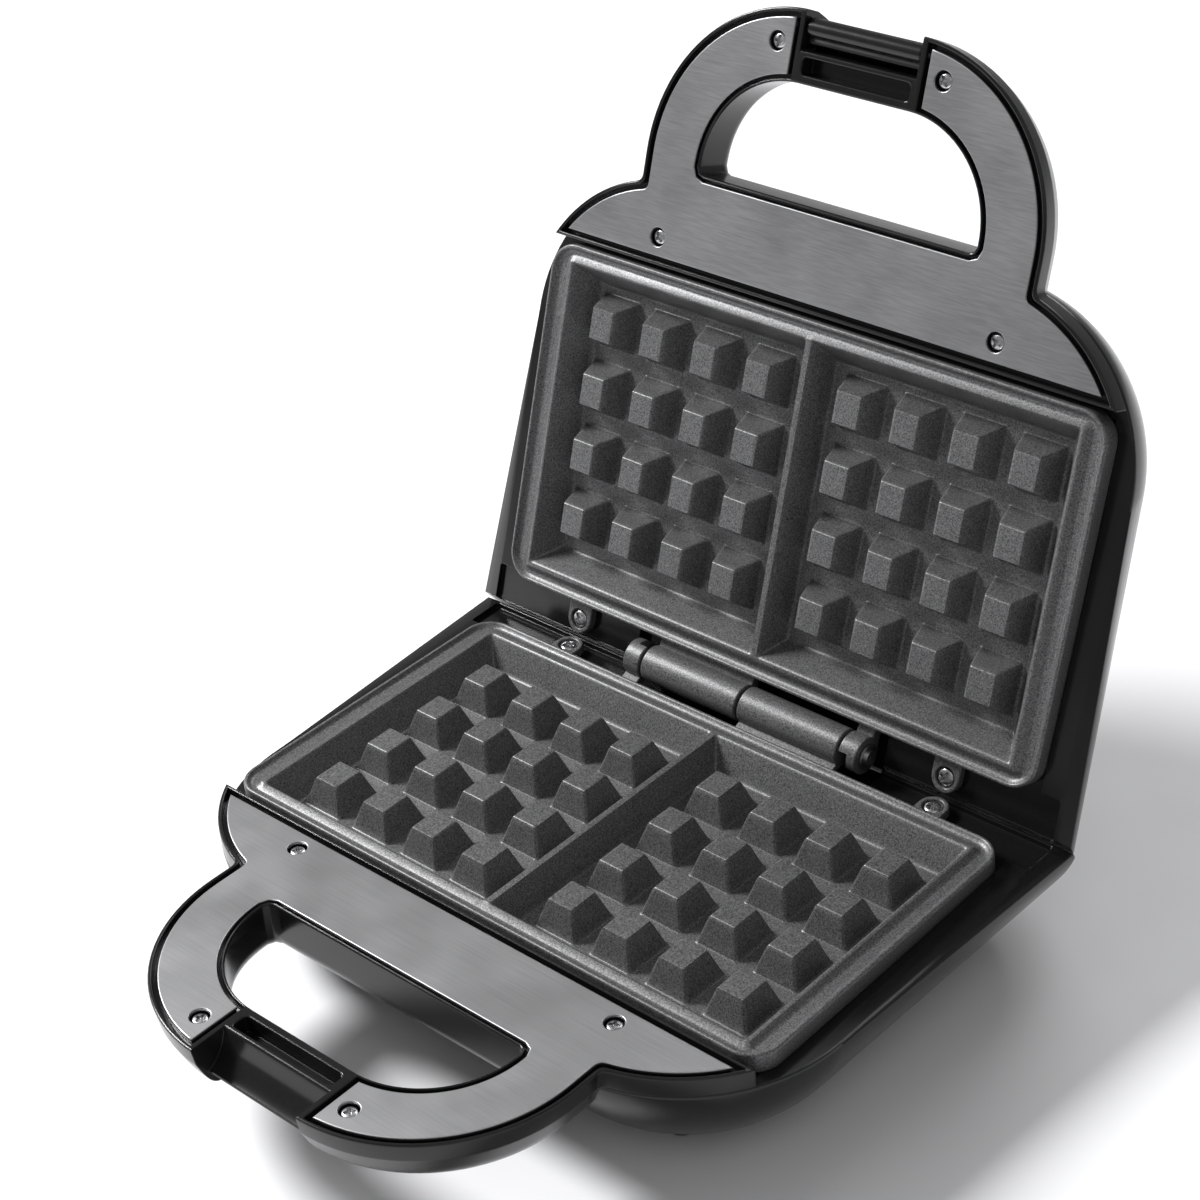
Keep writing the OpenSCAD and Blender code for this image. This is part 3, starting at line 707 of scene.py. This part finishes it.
def finish_material(name, dark, light, scale, rough, metallic=0.0, grain=0.15, depth=5e-5, stretch=(1, 1, 1),
                    turn=(0, 0, 0), specular=0.5, coat=0.0, edge=0.0):
    """A surface with its tone, roughness and relief driven by noise."""
    material, tree, bsdf = nodes_of(name)
    fine = noise(tree, scale, 3.0, stretch, turn)
    broad = noise(tree, 35.0, 2.0)
    tree.links.new(shade(tree, fine, dark, light), bsdf.inputs["Base Color"])
    tree.links.new(remap(tree, broad, 0.3, 0.7, *rough), bsdf.inputs["Roughness"])
    bsdf.inputs["Metallic"].default_value = metallic
    bsdf.inputs["Specular IOR Level"].default_value = specular
    bsdf.inputs["Coat Weight"].default_value = coat
    bsdf.inputs["Coat Roughness"].default_value = 0.08
    bump(tree, bsdf, fine, grain, depth, edge)
    return material


def grey(value):
    return (value, value, value * 1.02)


BRUSH = (1, 60, 60)
LID_BRUSH, LID_BRUSH_TURN = (3, 40, 40), (0.3, 0.1, 0.6)
MATERIALS = {
    "shell": finish_material(
        "gloss_black", grey(0.006), grey(0.009), 900, (0.16, 0.24), grain=0.03, specular=0.4, edge=0.0005,
    ),
    "trim": finish_material(
        "brushed_trim", grey(0.36), grey(0.42), 42, (0.36, 0.44), 1.0, 0.12, 3e-5, BRUSH, edge=0.0002,
    ),
    # The lid's trim is the same brushed metal as the base's. Its darker grey is painted shade, a shaded copy of
    # the base trim's colour.
    "lid_trim": finish_material(
        "brushed_trim_lid_painted_shade", grey(0.27), grey(0.34), 42, (0.36, 0.44), 1.0, 0.12, 3e-5,
        LID_BRUSH, LID_BRUSH_TURN, edge=0.0002,
    ),
    "screw": finish_material("zinc", grey(0.42), grey(0.62), 700, (0.22, 0.34), 1.0),
    "plate": finish_material("non_stick", grey(0.035), grey(0.2), 2000, (0.36, 0.46), 0.35, 0.5, 8e-5),
    "heater": finish_material("heat_tinted", (0.1, 0.085, 0.08), (0.28, 0.24, 0.22), 120, (0.35, 0.5), 0.9),
    "sheet": finish_material(
        "rolled_sheet", grey(0.5), grey(0.72), 60, (0.25, 0.4), 1.0, stretch=(1, 30, 30),
    ),
    "ceramic": finish_material("ceramic_body", (0.62, 0.6, 0.54), (0.82, 0.8, 0.73), 300, (0.5, 0.65)),
    "lead": finish_material("silicone_sleeve", (0.32, 0.035, 0.03), (0.48, 0.06, 0.05), 400, (0.45, 0.6)),
    "foot": finish_material("rubber_foot", grey(0.012), grey(0.03), 900, (0.6, 0.75), grain=0.3),
    "power_lens": finish_material(
        "red_lens", (0.5, 0.01, 0.008), (0.8, 0.03, 0.02), 200, (0.08, 0.14), coat=0.6,
    ),
    "ready_lens": finish_material(
        "green_lens", (0.03, 0.4, 0.05), (0.08, 0.65, 0.12), 200, (0.08, 0.14), coat=0.6,
    ),
    "floor": finish_material("pale_floor", grey(0.86), grey(0.89), 8, (0.6, 0.7), grain=0.02),
}


def dress(obj, material):
    obj.data.materials.clear()
    obj.data.materials.append(MATERIALS[material])


def piece(obj, body, slot, node, material=None, angle=34):
    """Carries a finished half-frame solid into the frame, smooths it and ties it to its body."""
    matrix = PLACE[body]
    obj.data.transform(matrix)
    if matrix.determinant() < 0:
        obj.data.flip_normals()
    obj.data.polygons.foreach_set("use_smooth", np.ones(len(obj.data.polygons), bool))
    obj.data.set_sharp_from_angle(angle=math.radians(angle))
    obj.modifiers.new("normals", "WEIGHTED_NORMAL").keep_sharp = True
    dress(obj, material or slot)
    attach(obj, body)
    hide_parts(node)
    return obj


def trim(name):
    """Trim plate with a rounded upper edge and a countersunk hole for each screw."""
    levels = [
        (TRIM_FLOOR, 0.1), (-1.2, 0), (-0.75, 0), (-0.55, 0.08), (-0.44, 0.22), (TRIM_TOP, 0.42),
    ]
    sheet = prism(trim_outline(0), levels, name)
    return cut(sheet, *at_trim_screws(3.2, flared_levels(TRIM_SEAT, TRIM_TOP, 0.35)))


def build_half(side, plates, axis_z, long_side):
    """Everything visible of one half."""
    body = shell(f"{side}_shell_skin", axis_z)
    body = cut(body, base_notch() if side == "base" else lid_notch())
    if side == "lid":
        sockets = [(-DEPTH - 3, 0), (-DEPTH + 6, 0)]
        body = cut(body, *[prism(circle(x, LAMP_Y, LENS_R + 0.05, 40), sockets) for x in LAMPS.values()])
        body = cut(body, along_x(circle(*PIVOT, PIVOT_BORE, 24), [(-NOTCH_HALF - 4, 0), (NOTCH_HALF + 4, 0)]))
    # The lid's trim takes the darker copy of the trim colour, which is painted shade.
    finish = "lid_trim" if side == "lid" else "trim"
    piece(body, side, "shell", f"{side}_shell")
    piece(trim(f"{side}_trim_sheet"), side, "trim", f"{side}_trim", finish)
    trim_heads = screw_set(f"{side}_trim_heads", TRIM_SCREWS, TRIM_SEAT, 2.6, 1.7)
    piece(trim_heads, side, "screw", f"{side}_trim_screws")
    cast = plate(f"{plates}_plate_cast", long_side, axis_z)
    piece(cast, side, "plate", f"{plates}_waffle_plate", angle=50)
    plate_heads = screw_set(f"{plates}_plate_heads", [PLATE_SCREW], -5.2, 3.0, 1.5)
    piece(plate_heads, side, "screw", f"{plates}_plate_screws")


build_half("base", "lower", AXIS_H, 1)
build_half("lid", "upper", -AXIS_H, -1)
for feet, spot in FEET.items():
    piece(foot(f"{feet}_rubber", spot), "base", "foot", feet)
piece(grommet("cord_sleeve"), "base", "shell", "cord_grommet")
for lamp, x in LAMPS.items():
    piece(lens(f"{lamp}_lens_dome", x), "lid", f"{lamp}_lens", f"{lamp}_lamp_lens")
piece(clip("clip_body"), "latch", "shell", "latch_clip")

SLOT_OF = {row["node"]: row["material_slot"] for row in frame["record"]["subparts"]}
for node, obj in frame["nodes"].items():
    if not obj.hide_render:
        dress(obj, SLOT_OF[node])

# Stage, light and the camera, which was solved from the photo
bm = bmesh.new()
bmesh.ops.create_grid(bm, x_segments=8, y_segments=8, size=4.0)
floor = from_bmesh(bm, "floor")
floor.location.z = -0.0002
dress(floor, "floor")

world = bpy.data.worlds.new("studio")
bpy.context.scene.world = world
world.use_nodes = True
sky = world.node_tree.nodes["Background"]
sky.inputs["Color"].default_value = (1, 1, 1, 1)
sky.inputs["Strength"].default_value = 0.28


def soft_light(name, place, target, size, power):
    data = bpy.data.lights.new(name, "AREA")
    data.shape, data.size, data.energy = "DISK", size, power
    lamp = bpy.data.objects.new(name, data)
    bpy.context.scene.collection.objects.link(lamp)
    lamp.location = place
    lamp.rotation_mode = "QUATERNION"
    lamp.rotation_quaternion = (Vector(target) - Vector(place)).to_track_quat("-Z", "Y")


soft_light("key", (-1.15, -0.3, 1.05), (0, 0, 0.08), 0.5, 36)
soft_light("fill", (0.9, -0.6, 1.2), (0, 0, 0.1), 1.2, 2)
soft_light("back", (-0.3, 1.2, 1.1), (0, 0.05, 0.15), 0.9, 9)

camera = bpy.data.objects.new("camera", bpy.data.cameras.new("camera"))
bpy.context.scene.collection.objects.link(camera)
forward = Vector((-0.588852, 0.599838, -0.541709))
right = Vector((0.743514, 0.664828, -0.072050))
up = Vector((-0.316925, 0.445195, 0.837472))
turned = Matrix((right, up, -forward)).transposed().to_4x4()
camera.matrix_world = Matrix.Translation((0.475945, -0.481671, 0.561871)) @ turned
camera.data.lens, camera.data.sensor_width, camera.data.clip_start = 79.46, 36, 0.01
bpy.context.scene.camera = camera
bpy.context.scene.view_settings.view_transform = "Standard"
